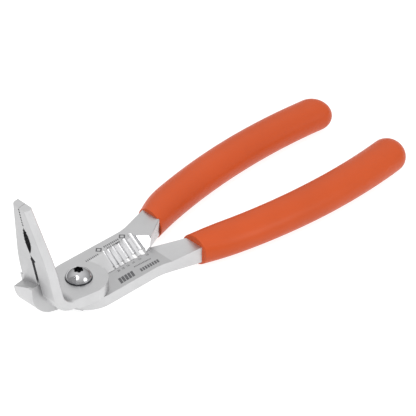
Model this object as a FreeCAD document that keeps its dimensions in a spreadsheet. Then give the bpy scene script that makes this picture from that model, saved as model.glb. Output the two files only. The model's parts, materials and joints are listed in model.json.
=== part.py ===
"""Bent-nose wire stripping pliers: two lapped steel halves on one pivot screw, with dipped grips.

The origin is on the pivot axis, on the plane that the pliers rest on: the nut's underside and the
lowest line of both grips.  +X runs from the nose to the handles, +Y towards the upper half's handle,
and +Z along the pivot screw, the way that the nose bends.  The halves meet at the lap plane.  The
upper half lies above it, with the nose's -Y jaw and the +Y handle; the lower half is below it, with
the other jaw and handle.  A side of +1 means the upper half and -1 the lower half.
"""
import FreeCAD, Part
import math
import os
import Sketcher

Vector = FreeCAD.Vector

SIZES = {
    # head
    "nut_height": 2.4,
    "plate_thickness": 5.0,
    "lap_gap": 0.06,
    "head_half_width": 11.6,
    "boss_radius": 11.8,
    "boss_step_radius": 11.1,
    "shoulder_gap": 0.35,
    "upper_cheek_start": 0.0,
    "lower_cheek_start": 5.5,
    # nose
    "nose_top": 60.0,
    "nose_lean": 9.8,
    "jaw_gap": 0.1,
    "tip_half_width": 4.3,
    "tip_depth": 3.4,
    "jaw_taper": 0.21,
    "taper_blend": 6.0,
    "upper_bend_start": -9.9,
    "upper_bend_radius": 6.0,
    "upper_bend_outer_radius": 9.9,
    "upper_root_half_width": 10.2,
    "lower_bend_start": -10.4,
    "lower_bend_radius": 12.8,
    "lower_root_half_width": 10.9,
    "bulge_rise": 2.8,
    "bulge_step": 1.8,
    "bulge_slant": 0.38,
    "bulge_spread": 0.6,
    "jaw_corner_radius": 2.0,
    "jaw_back_radius": 1.1,
    "serration_pitch": 1.3,
    "serration_depth": 0.45,
    "serration_count": 7,
    "pipe_grip_top": 49.4,
    "pipe_grip_length": 13.2,
    "upper_pipe_grip_depth": 2.0,
    "lower_pipe_grip_depth": 1.2,
    "pipe_tooth_pitch": 1.7,
    "pipe_tooth_depth": 0.6,
    "pipe_tooth_count": 5,
    "jaw_notch_height": 33.2,
    "upper_notch_depth": 2.3,
    "lower_notch_depth": 0.7,
    "relief_top": 32.2,
    "upper_relief_depth": 1.4,
    "lower_relief_depth": 0.2,
    # wire stripper
    "blade_overlap": 1.1,
    "blade_end": 36.9,
    "blade_edge_thickness": 0.1,
    "bevel_width": 6.7,
    "runout_length": 4.6,
    "runout_width": 2.7,
    "first_hole": 18.2,
    "first_hole_radius": 0.5,
    "hole_growth": 1.265,
    "hole_web": 1.15,
    "hole_count": 6,
    "flute_share": 0.88,
    # tangs
    "neck_start": 33.5,
    "neck_blend": 3.5,
    "tang_thickness": 7.8,
    "tang_root_inner": 0.4,
    "tang_edge_radius": 2.6,
    "ramp_start": 38.3,
    "ramp_length": 14.0,
    "tang_root": 38.9,
    "tang_mouth": 51.0,
    "upper_tang_inner": 7.2,
    "lower_tang_inner": 8.0,
    "tang_end": 152.0,
    "tang_end_inner": 18.5,
    "tang_inner_radius": 165.0,
    "tang_offset": 3.1,
    # handle line, an arc in plan
    "handle_radius": 285.0,
    "handle_peak": 127.5,
    "handle_spread": 24.3,
    "handle_offset": 0.7,
    # grips
    "upper_grip_mouth": 49.0,
    "lower_grip_mouth": 50.9,
    "grip_end": 166.3,
    "grip_mouth_shift": 1.15,
    "grip_mouth_half_width": 6.8,
    "grip_mouth_half_height": 6.5,
    "grip_mouth_rise": 0.6,
    "grip_swell_length": 16.0,
    "grip_start_half_width": 8.0,
    "grip_start_half_height": 6.7,
    "grip_half_width": 8.6,
    "grip_half_height": 7.1,
    "grip_end_length": 8.2,
    # pivot
    "shank_radius": 3.0,
    "shank_gap": 0.05,
    "head_radius": 5.3,
    "head_height": 3.7,
    "head_rim": 0.5,
    "washer_radius": 5.6,
    "washer_thickness": 0.5,
    "washer_dish": 0.25,
    "socket_radius": 2.0,
    "socket_valley_radius": 1.56,
    "socket_lobe_radius": 0.775,
    "socket_depth": 1.9,
    "nut_across_flats": 10.0,
}


class Size:
    """A length that carries both its number and the spreadsheet formula that drives it."""

    def __init__(self, value, text):
        self.value = float(value)
        self.text = text

    def combine(self, other, sign, work):
        other = as_size(other)
        return Size(work(self.value, other.value), "(%s %s %s)" % (self.text, sign, other.text))

    def __add__(self, other):
        return self.combine(other, "+", lambda a, b: a + b)

    def __radd__(self, other):
        return as_size(other) + self

    def __sub__(self, other):
        return self.combine(other, "-", lambda a, b: a - b)

    def __rsub__(self, other):
        return as_size(other) - self

    def __mul__(self, other):
        return self.combine(other, "*", lambda a, b: a * b)

    def __rmul__(self, other):
        return as_size(other) * self

    def __truediv__(self, other):
        return self.combine(other, "/", lambda a, b: a / b)

    def __rtruediv__(self, other):
        return as_size(other) / self

    def __neg__(self):
        return Size(-self.value, "(0 - %s)" % self.text)


def as_size(number):
    if isinstance(number, Size):
        return number
    return Size(number, "%.6f" % number if number >= 0 else "(0 - %.6f)" % -number)


def sine(degrees):
    degrees = as_size(degrees)
    return Size(math.sin(math.radians(degrees.value)), "sin(%s * 1 deg)" % degrees.text)


def cosine(degrees):
    degrees = as_size(degrees)
    return Size(math.cos(math.radians(degrees.value)), "cos(%s * 1 deg)" % degrees.text)


def root(square):
    return Size(math.sqrt(square.value), "sqrt(%s)" % square.text)


def make_sheet(doc):
    """The spreadsheet of driving dimensions, and the same sizes by name."""
    sheet = doc.addObject("Spreadsheet::Sheet", "Sizes")
    sizes = {}
    for row, (name, number) in enumerate(SIZES.items(), start=1):
        cell = "A%d" % row
        sheet.set(cell, str(number))
        sheet.setAlias(cell, name)
        sizes[name] = Size(number, "Sizes.%s" % name)
    doc.recompute()
    return sizes


doc = FreeCAD.newDocument("pliers")
size = make_sheet(doc)

LAP_PLANE = size["nut_height"] + size["plate_thickness"]
PLATE_TOP = LAP_PLANE + size["plate_thickness"]
HANDLE_CENTRE_Y = size["handle_spread"] - size["handle_radius"]
CLEAR = 60.0            # further than any cut has to reach
OVERSHOOT = 1.0         # how far a cut starts outside the steel
SLEEVE_SECTIONS = 15    # sections along a grip, up to its round end
END_SECTIONS = 9        # sections that close a grip's round end
END_CLOSING_ANGLE = 87.0
TANG_EDGE_SHARES = (0.12, 2.5)    # size of a tang's rounded edge at its root and inside the grip
TANG_EDGE_REACH = 5.0   # how far inside the tang's edge line its rounding cut starts
SMALL_STEP = 0.05       # keeps a section's shortest edge longer than nothing
CHEEK_SWEEP = 0.25      # how much flatter a cheek's arc gets as it starts nearer the tang
SERRATION_SHARE = 0.42  # half a serration's height as a share of the pitch
PIPE_TOOTH_SHARE = 0.4  # the same for the pipe grip's teeth
FIRST_PIPE_TOOTH = 0.9  # pitches from the top of the pipe grip to its first tooth
ON_FACE = 0.01          # how near a plane an edge counts as lying on it


# ---------------------------------------------------------------- sketches and features

def add_sketch(body, name, plane, offset=0.0):
    """A sketch on one of the body's origin planes, moved along the plane's normal."""
    sketch = body.newObject("Sketcher::SketchObject", name)
    origin_plane = [item for item in body.Origin.OriginFeatures if item.Role == plane][0]
    sketch.AttachmentSupport = [(origin_plane, "")]
    sketch.MapMode = "FlatFace"
    sketch.setExpression(".AttachmentOffset.Base.z", as_size(offset).text)
    return sketch


def pin_point(sketch, geometry, point, x, y):
    """Fixes one point of a sketch by its two distances from the sketch's origin."""
    for kind, distance in (("DistanceX", as_size(x)), ("DistanceY", as_size(y))):
        index = sketch.addConstraint(Sketcher.Constraint(kind, -1, 1, geometry, point, distance.value))
        sketch.setExpression("Constraints[%d]" % index, distance.text)


def arc_between(start, end, radius):
    """The short arc from start to end; a positive radius turns left and a negative one right."""
    half = (end - start) * 0.5
    reach = math.sqrt(radius * radius - half.Length * half.Length)
    left = Vector(-half.y, half.x, 0).normalize()
    centre = start + half + left * (reach if radius > 0 else -reach)
    first, last = (start, end) if radius > 0 else (end, start)
    angles = [math.atan2(point.y - centre.y, point.x - centre.x) for point in (first, last)]
    return Part.ArcOfCircle(Part.Circle(centre, Vector(0, 0, 1), abs(radius)), angles[0], angles[1])


def add_outline(sketch, corners):
    """A closed outline.  A corner is (x, y), or (x, y, radius) where an arc leads on from it."""
    places = [Vector(as_size(corner[0]).value, as_size(corner[1]).value, 0) for corner in corners]
    ends = []
    for index, corner in enumerate(corners):
        start, end = places[index], places[(index + 1) % len(places)]
        if len(corner) == 2:
            geometry = sketch.addGeometry(Part.LineSegment(start, end), False)
            ends.append((geometry, 1, 2))
            continue
        radius = as_size(corner[2])
        geometry = sketch.addGeometry(arc_between(start, end, radius.value), False)
        ends.append((geometry, 1, 2) if radius.value > 0 else (geometry, 2, 1))
        rule = sketch.addConstraint(Sketcher.Constraint("Radius", geometry, abs(radius.value)))
        sketch.setExpression("Constraints[%d]" % rule, "abs(%s)" % radius.text)
    for index, corner in enumerate(corners):
        geometry, first, last = ends[index]
        following, following_first, _ = ends[(index + 1) % len(ends)]
        sketch.addConstraint(Sketcher.Constraint("Coincident", geometry, last, following, following_first))
        pin_point(sketch, geometry, first, corner[0], corner[1])


def add_circle(sketch, x, y, radius):
    centre = Vector(as_size(x).value, as_size(y).value, 0)
    radius = as_size(radius)
    geometry = sketch.addGeometry(Part.Circle(centre, Vector(0, 0, 1), radius.value), False)
    rule = sketch.addConstraint(Sketcher.Constraint("Radius", geometry, radius.value))
    sketch.setExpression("Constraints[%d]" % rule, radius.text)
    pin_point(sketch, geometry, 3, x, y)


def add_feature(body, kind, name, plane, low, high, draw):
    """A Pad or Pocket from low to high along the plane's normal; draw fills its sketch."""
    low, high = as_size(low), as_size(high)
    sketch = add_sketch(body, name + "_sketch", plane, low)
    draw(sketch)
    doc.recompute()
    before = body.Shape.Volume if body.Tip else 0.0
    feature = body.newObject("PartDesign::" + kind, name)
    feature.Profile = sketch
    feature.Reversed = kind == "Pocket"
    feature.setExpression("Length", (high - low).text)
    doc.recompute()
    change = body.Shape.Volume - before
    if change * (1 if kind == "Pad" else -1) <= 0:
        raise RuntimeError("%s changes nothing" % name)
    return feature


def add_fillet(body, name, radius, wanted):
    """Rounds the edges of the body's last feature whose middle point passes the test."""
    base = body.Tip
    chosen = []
    for index, edge in enumerate(base.Shape.Edges, start=1):
        middle = edge.valueAt((edge.FirstParameter + edge.LastParameter) / 2)
        if wanted(middle, edge):
            chosen.append("Edge%d" % index)
    if not chosen:
        raise RuntimeError("%s finds no edge" % name)
    fillet = body.newObject("PartDesign::Fillet", name)
    fillet.Base = (base, chosen)
    fillet.setExpression("Radius", as_size(radius).text)
    before = body.Shape.Volume
    doc.recompute()
    if not fillet.Shape.isValid() or fillet.Shape.Volume >= before:
        raise RuntimeError("%s rounds nothing" % name)
    return fillet


def between(side, lap_distance, outer_distance):
    """Two heights given by their distance from the lap plane on a half's own side, low one first."""
    heights = [LAP_PLANE + lap_distance * side, LAP_PLANE + outer_distance * side]
    return heights if side > 0 else heights[::-1]


# ---------------------------------------------------------------- the halves

def handle_arc_y(x, radius):
    """How far out an arc about the handle line's centre lies at x."""
    along = as_size(x) - size["handle_peak"]
    return HANDLE_CENTRE_Y + root(radius * radius - along * along)


def corner_radius(blend, slope):
    """Radius of the arc that rounds a corner into a slope, from a length of blend before the corner."""
    return blend * (root(slope * slope + 1) + 1) / slope


def half_outline(sketch, side, bend_start, root_half_width, cheek_start):
    """Plan of one half: boss, blade, tang and head, anticlockwise on the upper half."""
    overlap = size["blade_overlap"]
    boss = size["boss_radius"]
    head = size["head_half_width"]
    gap = size["jaw_gap"] / 2
    outer = size["handle_radius"] + size["tang_offset"]
    offset = size["handle_offset"] * side
    tang_inner = size["upper_tang_inner" if side > 0 else "lower_tang_inner"]
    mouth_y = handle_arc_y(size["tang_mouth"], outer)
    neck_slope = (mouth_y - head) / (size["tang_mouth"] - size["neck_start"])
    neck_run = size["neck_blend"] / root(neck_slope * neck_slope + 1)
    cheek_radius = head + cheek_start * CHEEK_SWEEP
    cheek_depth = cheek_radius - head + gap
    corners = [
        (bend_start, -root_half_width),
        (0, -boss, boss),
        (root(boss * boss - overlap * overlap), -overlap),
        (size["blade_end"], -overlap),
        (size["tang_root"], size["tang_root_inner"]),
        (size["tang_mouth"], tang_inner, -size["tang_inner_radius"]),
        (size["tang_end"], size["tang_end_inner"]),
        (size["tang_end"], handle_arc_y(size["tang_end"], outer) + offset, outer),
        (size["tang_mouth"], mouth_y),
        (size["neck_start"] + neck_run, head + neck_run * neck_slope,
         -corner_radius(size["neck_blend"], neck_slope)),
        (size["neck_start"] - size["neck_blend"], head),
        (cheek_start, head, cheek_radius),
        (cheek_start - root(cheek_radius * cheek_radius - cheek_depth * cheek_depth), -gap),
        (bend_start, -gap),
    ]
    add_outline(sketch, [(c[0], c[1] * side) + tuple(r * side for r in c[2:]) for c in corners])


def lap_cut_outline(sketch, side):
    """Side view of the steel taken away across the lap plane, up the ramp to the tang's thickness."""
    lap = LAP_PLANE + size["lap_gap"] / 2 * side
    tang_face = LAP_PLANE - (size["tang_thickness"] - size["plate_thickness"]) * side
    outside = tang_face - OVERSHOOT * side
    ramp_end = size["ramp_start"] + size["ramp_length"]
    add_outline(sketch, [(-CLEAR, outside), (-CLEAR, lap), (size["ramp_start"], lap),
                         (ramp_end, tang_face), (ramp_end, outside)])


def bevel_outline(sketch, side, width):
    """Section of the steel ground off a blade's outer face, down to its thin edge."""
    rise = (size["plate_thickness"] - size["lap_gap"] / 2 - size["blade_edge_thickness"])
    slope = rise / size["bevel_width"]
    outside = size["bevel_width"] + OVERSHOOT
    top = width - size["blade_overlap"]
    face = LAP_PLANE + size["plate_thickness"] * side
    add_outline(sketch, [
        (top * side, face),
        ((top - outside) * side, face - outside * slope * side),
        ((top - outside) * side, face + OVERSHOOT * side),
        (top * side, face + OVERSHOOT * side),
    ])


def round_tang_edge(body, side):
    """Rounds the outer face's inner edge, from sharp at the tang's root to full at the grip's mouth."""
    run = size["tang_mouth"] - size["tang_root"]
    rise = size["upper_tang_inner" if side > 0 else "lower_tang_inner"] - size["tang_root_inner"]
    length = root(run * run + rise * rise)
    turn = math.degrees(math.atan2(rise.value, run.value))
    face = LAP_PLANE + size["plate_thickness"] * side
    sections = []
    for name, share, growth in (("root", 0, TANG_EDGE_SHARES[0]),
                                ("sleeve", TANG_EDGE_SHARES[1], TANG_EDGE_SHARES[1])):
        sketch = add_sketch(body, "tang_edge_" + name, "YZ_Plane", size["tang_root"] + run * share)
        sketch.AttachmentOffset = FreeCAD.Placement(
            Vector(), FreeCAD.Rotation(Vector(0, 1, 0), -turn * side))
        sketch.setExpression(".AttachmentOffset.Base.x", ((size["tang_root_inner"] + rise * share) * side).text)
        radius = size["tang_edge_radius"] * growth
        add_outline(sketch, [
            (0, face - radius * side, radius * -1),
            (radius * side, face),
            (radius * side, face + OVERSHOOT * side),
            (-TANG_EDGE_REACH * side, face + OVERSHOOT * side),
            (-TANG_EDGE_REACH * side, face - radius * side),
        ])
        sections.append(sketch)
    loft = body.newObject("PartDesign::SubtractiveLoft", "tang_edge")
    loft.Profile = sections[0]
    loft.Sections = [sections[1]]
    loft.Ruled = True
    doc.recompute()


def grind_bevel(body, side):
    """The blade's bevel, its run-out towards the tang, and the boss that it leaves standing."""
    runout = [add_sketch(body, "runout_start", "YZ_Plane", size["blade_end"] - size["runout_width"]),
              add_sketch(body, "runout_end", "YZ_Plane",
                         size["blade_end"] - size["runout_width"] + size["runout_length"])]
    bevel_outline(runout[0], side, size["bevel_width"])
    bevel_outline(runout[1], side, size["runout_width"])
    add_feature(body, "Pocket", "bevel", "YZ_Plane", 0, size["blade_end"] - size["runout_width"],
                lambda sketch: bevel_outline(sketch, side, size["bevel_width"]))
    loft = body.newObject("PartDesign::SubtractiveLoft", "bevel_runout")
    loft.Profile = runout[0]
    loft.Sections = [runout[1]]
    loft.Ruled = True
    doc.recompute()
    low, high = between(side, size["lap_gap"] / 2, size["plate_thickness"])
    boss = size["boss_step_radius"]
    width = size["bevel_width"]
    add_feature(body, "Pad", "boss", "XY_Plane", low, high, lambda sketch: add_outline(sketch, [
        (0, -boss * side, boss * side), (root(boss * boss - width * width), width * side),
        (0, width * side)]))


def stripping_holes():
    """Centre and radius of each stripping hole, each a fixed share larger than the one before."""
    holes = []
    place, radius = size["first_hole"], size["first_hole_radius"]
    for _ in range(int(SIZES["hole_count"])):
        holes.append((place, radius))
        larger = radius * size["hole_growth"]
        place = place + radius + larger + size["hole_web"]
        radius = larger
    return holes


def cut_stripping_holes(body, side):
    """The holes, and a flute that runs up the bevel from each."""
    def draw_holes(sketch):
        for place, radius in stripping_holes():
            add_circle(sketch, place, 0, radius)
    add_feature(body, "Pocket", "stripping_holes", "XY_Plane", 0, PLATE_TOP + OVERSHOOT, draw_holes)
    slope = (size["plate_thickness"] - size["lap_gap"] / 2 - size["blade_edge_thickness"]) / size["bevel_width"]
    sketch = add_sketch(body, "flutes_sketch", "XZ_Plane")
    sketch.AttachmentOffset = FreeCAD.Placement(
        Vector(0, 0, 0), FreeCAD.Rotation(Vector(1, 0, 0), math.degrees(math.atan(slope.value))))
    sketch.setExpression(".AttachmentOffset.Base.y", (LAP_PLANE + slope * size["blade_overlap"] * side).text)
    for place, radius in stripping_holes():
        add_circle(sketch, place, 0, radius * size["flute_share"])
    doc.recompute()
    flutes = body.newObject("PartDesign::Pocket", "flutes")
    flutes.Profile = sketch
    flutes.SideType = "Symmetric"
    flutes.Length = CLEAR
    doc.recompute()


def lean_line(start_x, start_z, height):
    """The point on a line that leans with the nose, at a height."""
    tangent = sine(size["nose_lean"]) / cosine(size["nose_lean"])
    return start_x - (height - start_z) * tangent, height


def jaw_profile():
    """Corner points that both jaws share in side view: where the back and front planes start and end."""
    lean_sine, lean_cosine = sine(size["nose_lean"]), cosine(size["nose_lean"])
    centre_x = size["upper_bend_start"]
    inner = size["upper_bend_radius"]
    outer = size["upper_bend_outer_radius"]
    back_low = (centre_x - inner * lean_cosine, PLATE_TOP + inner - inner * lean_sine)
    front_low = (centre_x - outer * lean_cosine, LAP_PLANE + outer - outer * lean_sine)
    front_top = lean_line(front_low[0], front_low[1], size["nose_top"] - size["tip_depth"] * lean_sine)
    back_top = (front_top[0] + size["tip_depth"] * lean_cosine, size["nose_top"])
    return back_low, front_low, back_top, front_top


def jaw_outline(sketch, side):
    """Side view of a jaw: the plate bent up; the lower half's bend reaches back to the boss."""
    back_low, front_low, back_top, front_top = jaw_profile()
    nose = [back_low, back_top, front_top]
    lap = LAP_PLANE + size["lap_gap"] / 2 * side
    if side > 0:
        inner_bend = (size["upper_bend_start"], PLATE_TOP, -size["upper_bend_radius"])
        outer_bend = front_low + (size["upper_bend_outer_radius"],)
        add_outline(sketch, [inner_bend] + nose + [outer_bend, (size["upper_bend_start"], lap)])
    else:
        start = size["lower_bend_start"]
        shoulder = (-size["boss_radius"] - size["shoulder_gap"], lap)
        add_outline(sketch, [shoulder] + nose + [front_low, (start, size["nut_height"]), (start, lap)])


def bulge_outline(sketch, spread):
    """Side view of the lower half's heavier bend, its bulging front moved forwards by spread."""
    back_low, front_low, _, _ = jaw_profile()
    outer = size["lower_bend_radius"]
    start = size["lower_bend_start"]
    bulge_z = size["nut_height"] + outer
    lap = LAP_PLANE - size["lap_gap"] / 2
    step = lean_line(front_low[0], front_low[1], bulge_z + size["bulge_rise"] + size["bulge_step"])
    front = start - outer - spread
    add_outline(sketch, [
        (start, lap),
        (-size["boss_radius"] - size["shoulder_gap"], lap),
        back_low,
        step,
        (front, bulge_z + size["bulge_rise"]),
        (front, bulge_z, outer),
        (start - spread, size["nut_height"]),
        (start, size["nut_height"]),
    ])


def add_bulge(body):
    """The lower half's bulge, its top edge cut to fall away towards the outer side."""
    sections = [add_sketch(body, "bulge_inner_section", "XZ_Plane", -size["jaw_gap"] / 2),
                add_sketch(body, "bulge_outer_section", "XZ_Plane", -size["lower_root_half_width"])]
    bulge_outline(sections[0], SMALL_STEP)
    bulge_outline(sections[1], size["bulge_spread"])
    bulge = body.newObject("PartDesign::AdditiveLoft", "bulge")
    bulge.Profile = sections[0]
    bulge.Sections = [sections[1]]
    bulge.Ruled = True
    doc.recompute()
    front_x, front_z = jaw_profile()[1]
    sketch = add_sketch(body, "bulge_slant_sketch", "YZ_Plane", front_x)
    sketch.AttachmentOffset = FreeCAD.Placement(
        Vector(), FreeCAD.Rotation(Vector(1, 0, 0), -SIZES["nose_lean"]))
    sketch.setExpression(".AttachmentOffset.Base.y", front_z.text)
    high = size["nut_height"] + size["lower_bend_radius"] + size["bulge_rise"] + size["bulge_step"] - front_z
    far = size["lower_root_half_width"] + OVERSHOOT
    top = high + size["bulge_step"]
    add_outline(sketch, [(0, high), (far, high - far * size["bulge_slant"]), (far, top), (0, top)])
    cut = body.newObject("PartDesign::Pocket", "bulge_slant_cut")
    cut.Profile = sketch
    cut.Length = CLEAR
    doc.recompute()


def add_jaw(body, side, root_half_width):
    """One jaw of the nose: padded from its side view, tapered in front view and rounded outside."""
    gap = size["jaw_gap"] / 2
    reach = [gap, root_half_width] if side > 0 else [-root_half_width, -gap]
    add_feature(body, "Pad", "jaw", "XZ_Plane", reach[0], reach[1],
                lambda sketch: jaw_outline(sketch, side))
    top = size["nose_top"]
    outside = root_half_width + OVERSHOOT
    slope = size["jaw_taper"]
    low = top - (root_half_width - size["tip_half_width"]) / slope
    blend = size["taper_blend"]
    tangent = root(slope * slope + 1)
    blend_start = (root_half_width - slope * blend / tangent, low + blend / tangent)
    blend_radius = corner_radius(blend, slope)
    add_feature(body, "Pocket", "jaw_taper", "YZ_Plane", -CLEAR, 0, lambda sketch: add_outline(sketch, [
        (-root_half_width * side, low - blend, blend_radius * -side),
        (-blend_start[0] * side, blend_start[1]),
        (-size["tip_half_width"] * side, top),
        (-(size["tip_half_width"] - slope * OVERSHOOT) * side, top + OVERSHOOT),
        (-outside * side, top + OVERSHOOT),
        (-outside * side, low - blend),
    ]))

    front_x, front_z = [number.value for number in jaw_profile()[1]]
    lean = math.tan(math.radians(SIZES["nose_lean"]))

    def front_corner(middle, edge):
        off_front = abs(middle.x - front_x + (middle.z - front_z) * lean)
        return off_front < ON_FACE and middle.z > front_z and abs(middle.y) > SIZES["tip_half_width"]

    add_fillet(body, "jaw_corner", size["jaw_corner_radius"], front_corner)


def round_jaw_back(body):
    """Rounds the outer edge of a jaw's back."""
    back_low, _, back_top, _ = [[number.value for number in point] for point in jaw_profile()]

    def back_corner(middle, edge):
        share = (middle.z - back_low[1]) / (back_top[1] - back_low[1])
        off_back = abs(middle.x - back_low[0] - (back_top[0] - back_low[0]) * share)
        return off_back < ON_FACE and 0 < share < 1 and abs(middle.y) > SIZES["tip_half_width"]

    add_fillet(body, "jaw_back_corner", size["jaw_back_radius"], back_corner)


def cut_jaw_faces(body, side):
    """Serrations, pipe grip, notch and relief on the face that meets the other jaw."""
    half_name = "upper" if side > 0 else "lower"
    gap = size["jaw_gap"] / 2
    open_side = gap * side

    def groove(sketch, height, depth, half_height, surface):
        deep = -(surface + depth) * side
        add_outline(sketch, [(open_side, height - half_height), (open_side, height + half_height),
                             (deep, height)])

    def draw_serrations(sketch):
        for index in range(int(SIZES["serration_count"])):
            height = size["nose_top"] - size["serration_pitch"] * (index + 1)
            groove(sketch, height, size["serration_depth"], size["serration_pitch"] * SERRATION_SHARE, gap)

    def draw_pipe_grip(sketch):
        half = size["pipe_grip_length"] / 2
        depth = size[half_name + "_pipe_grip_depth"]
        radius = (half * half + depth * depth) / (depth * 2)
        top = size["pipe_grip_top"]
        low = top - size["pipe_grip_length"]
        add_outline(sketch, [(-gap * side, low, radius * -side), (-gap * side, top),
                             (open_side, top), (open_side, low)])

    def draw_pipe_teeth(sketch):
        half = SIZES["pipe_grip_length"] / 2
        depth = SIZES[half_name + "_pipe_grip_depth"]
        radius = (half * half + depth * depth) / (depth * 2)
        for index in range(int(SIZES["pipe_tooth_count"])):
            height = size["pipe_grip_top"] - size["pipe_tooth_pitch"] * (index + FIRST_PIPE_TOOTH)
            offset = (height - size["pipe_grip_top"]).value + half
            hollow = math.sqrt(radius * radius - offset * offset) - (radius - depth)
            groove(sketch, height, size["pipe_tooth_depth"], size["pipe_tooth_pitch"] * PIPE_TOOTH_SHARE,
                   gap + hollow)

    def draw_relief(sketch):
        notch = size["jaw_notch_height"]
        notch_depth = size[half_name + "_notch_depth"]
        relief = size[half_name + "_relief_depth"]
        low = size["nut_height"] - OVERSHOOT
        add_outline(sketch, [
            (open_side, low), (open_side, notch + notch_depth), (-gap * side, notch + notch_depth),
            (-(gap + notch_depth) * side, notch), (-(gap + relief) * side, size["relief_top"]),
            (-(gap + relief) * side, low),
        ])

    nose_start = -size["boss_radius"] - size["shoulder_gap"]
    for name, draw in (("serrations", draw_serrations), ("pipe_grip", draw_pipe_grip),
                       ("pipe_teeth", draw_pipe_teeth), ("jaw_relief", draw_relief)):
        add_feature(body, "Pocket", name, "YZ_Plane", -CLEAR, nose_start, draw)


def make_half(name, side, bend_start, root_half_width, cheek_start):
    """One forged half, from its flat plate to its jaw."""
    body = doc.addObject("PartDesign::Body", name)
    body.Label = name
    tang_step = size["tang_thickness"] - size["plate_thickness"]
    low, high = between(side, -tang_step, size["plate_thickness"])
    add_feature(body, "Pad", "plate", "XY_Plane", low, high,
                lambda sketch: half_outline(sketch, side, bend_start, root_half_width, cheek_start))
    add_feature(body, "Pocket", "lap_cut", "XZ_Plane", -CLEAR, CLEAR,
                lambda sketch: lap_cut_outline(sketch, side))
    grind_bevel(body, side)
    round_tang_edge(body, side)
    cut_stripping_holes(body, side)
    add_jaw(body, side, root_half_width)
    if side < 0:
        add_bulge(body)
    else:
        round_jaw_back(body)
    cut_jaw_faces(body, side)
    add_feature(body, "Pocket", "pivot_hole", "XY_Plane", 0, PLATE_TOP + OVERSHOOT,
                lambda sketch: add_circle(sketch, 0, 0, size["shank_radius"] + size["shank_gap"]))
    return body


# ---------------------------------------------------------------- the grips

def grip_section(name, side, x, half_width, half_height, shift, rise, offset):
    """An upright ellipse at x: shift moves it towards the other handle, rise towards its own half."""
    radius = size["handle_radius"]
    x = as_size(x)
    lean = radius / root(radius * radius - (x - size["handle_peak"]) * (x - size["handle_peak"]))
    ellipse = doc.addObject("Part::Ellipse", name)
    ellipse.Placement = FreeCAD.Placement(Vector(), FreeCAD.Rotation(Vector(1, 1, 1), 120))
    ellipse.setExpression("MajorRadius", (as_size(half_width) * lean).text)
    ellipse.setExpression("MinorRadius", as_size(half_height).text)
    ellipse.setExpression("Placement.Base.x", x.text)
    ellipse.setExpression("Placement.Base.y",
                          ((handle_arc_y(x, radius) - shift) * side + offset).text)
    ellipse.setExpression("Placement.Base.z", (size["grip_half_height"] + rise * side).text)
    return ellipse


def ease(x, start, length):
    """Rises as a quarter sine from 0 at start to 1 after length, and stays there."""
    if (x - start).value >= length.value:
        return as_size(1)
    return sine((x - start) / length * 90)


def grip_station(x, mouth):
    """A grip's section at x: its half width and half height swell quickly, then slowly."""
    quick = ease(x, mouth, size["grip_swell_length"])
    slow = ease(x, mouth, size["handle_peak"] - mouth)
    half_width = (size["grip_mouth_half_width"]
                  + (size["grip_start_half_width"] - size["grip_mouth_half_width"]) * quick
                  + (size["grip_half_width"] - size["grip_start_half_width"]) * slow)
    half_height = (size["grip_mouth_half_height"]
                   + (size["grip_start_half_height"] - size["grip_mouth_half_height"]) * quick
                   + (size["grip_half_height"] - size["grip_start_half_height"]) * slow)
    return (x, half_width, half_height, size["grip_mouth_shift"] * (1 - quick),
            size["grip_mouth_rise"] * (1 - quick), size["handle_offset"] * quick)


def make_grip(name, side, half):
    """A dipped vinyl grip: swells behind its mouth, follows the handle line and ends round."""
    full_width = size["grip_half_width"]
    full_height = size["grip_half_height"]
    mouth = size["upper_grip_mouth" if side > 0 else "lower_grip_mouth"]
    cap = size["grip_end"] - size["grip_end_length"]
    spacing = (cap - mouth) / (SLEEVE_SECTIONS - 1)
    stations = [grip_station(mouth + spacing * index, mouth) for index in range(SLEEVE_SECTIONS)]
    end_stations = []
    for index in range(END_SECTIONS):
        degrees = END_CLOSING_ANGLE * index / (END_SECTIONS - 1)
        end_stations.append((cap + size["grip_end_length"] * sine(degrees), full_width * cosine(degrees),
                             full_height * cosine(degrees), 0, 0, size["handle_offset"]))
    sleeves = []
    for part_name, row in (("sleeve", stations), ("round_end", end_stations)):
        sleeve = doc.addObject("Part::Loft", "%s_%s" % (name, part_name))
        sleeve.Sections = [grip_section("%s_%s_%d" % (name, part_name, index), side, *station)
                           for index, station in enumerate(row)]
        sleeve.Solid = True
        sleeve.Ruled = False
        sleeves.append(sleeve)
    whole = doc.addObject("Part::Fuse", name + "_whole")
    whole.Base, whole.Tool = sleeves
    grip = doc.addObject("Part::Cut", name)
    grip.Label = name
    grip.Base = whole
    grip.Tool = half
    doc.recompute()
    return grip


# ---------------------------------------------------------------- the pivot

def make_screw():
    """Button-head screw with a six-lobe socket."""
    body = doc.addObject("PartDesign::Body", "pivot_screw")
    body.Label = "pivot_screw"
    seat = PLATE_TOP + size["washer_thickness"]
    rim = size["head_radius"]
    height = size["head_height"] - size["head_rim"]
    crown = (rim * rim + height * height) / (height * 2)
    sketch = add_sketch(body, "screw_sketch", "XZ_Plane")
    add_outline(sketch, [
        (0, 0), (size["shank_radius"], 0), (size["shank_radius"], seat), (rim, seat),
        (rim, seat + size["head_rim"], crown), (0, seat + size["head_height"]),
    ])
    doc.recompute()
    turned = body.newObject("PartDesign::Revolution", "turned")
    turned.Profile = sketch
    turned.ReferenceAxis = (sketch, ["V_Axis"])
    turned.Angle = 360.0
    doc.recompute()
    top = seat + size["head_height"]

    def draw_lobes(sketch):
        points = []
        for index in range(6):
            for degrees, reach in ((60 * index, size["socket_radius"]),
                                   (60 * index + 30, size["socket_valley_radius"])):
                points.append((reach * cosine(degrees), reach * sine(degrees)))
        add_outline(sketch, [point + (size["socket_lobe_radius"],) for point in points])
    add_feature(body, "Pocket", "socket", "XY_Plane", top - size["socket_depth"], top + OVERSHOOT, draw_lobes)
    return body


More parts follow.
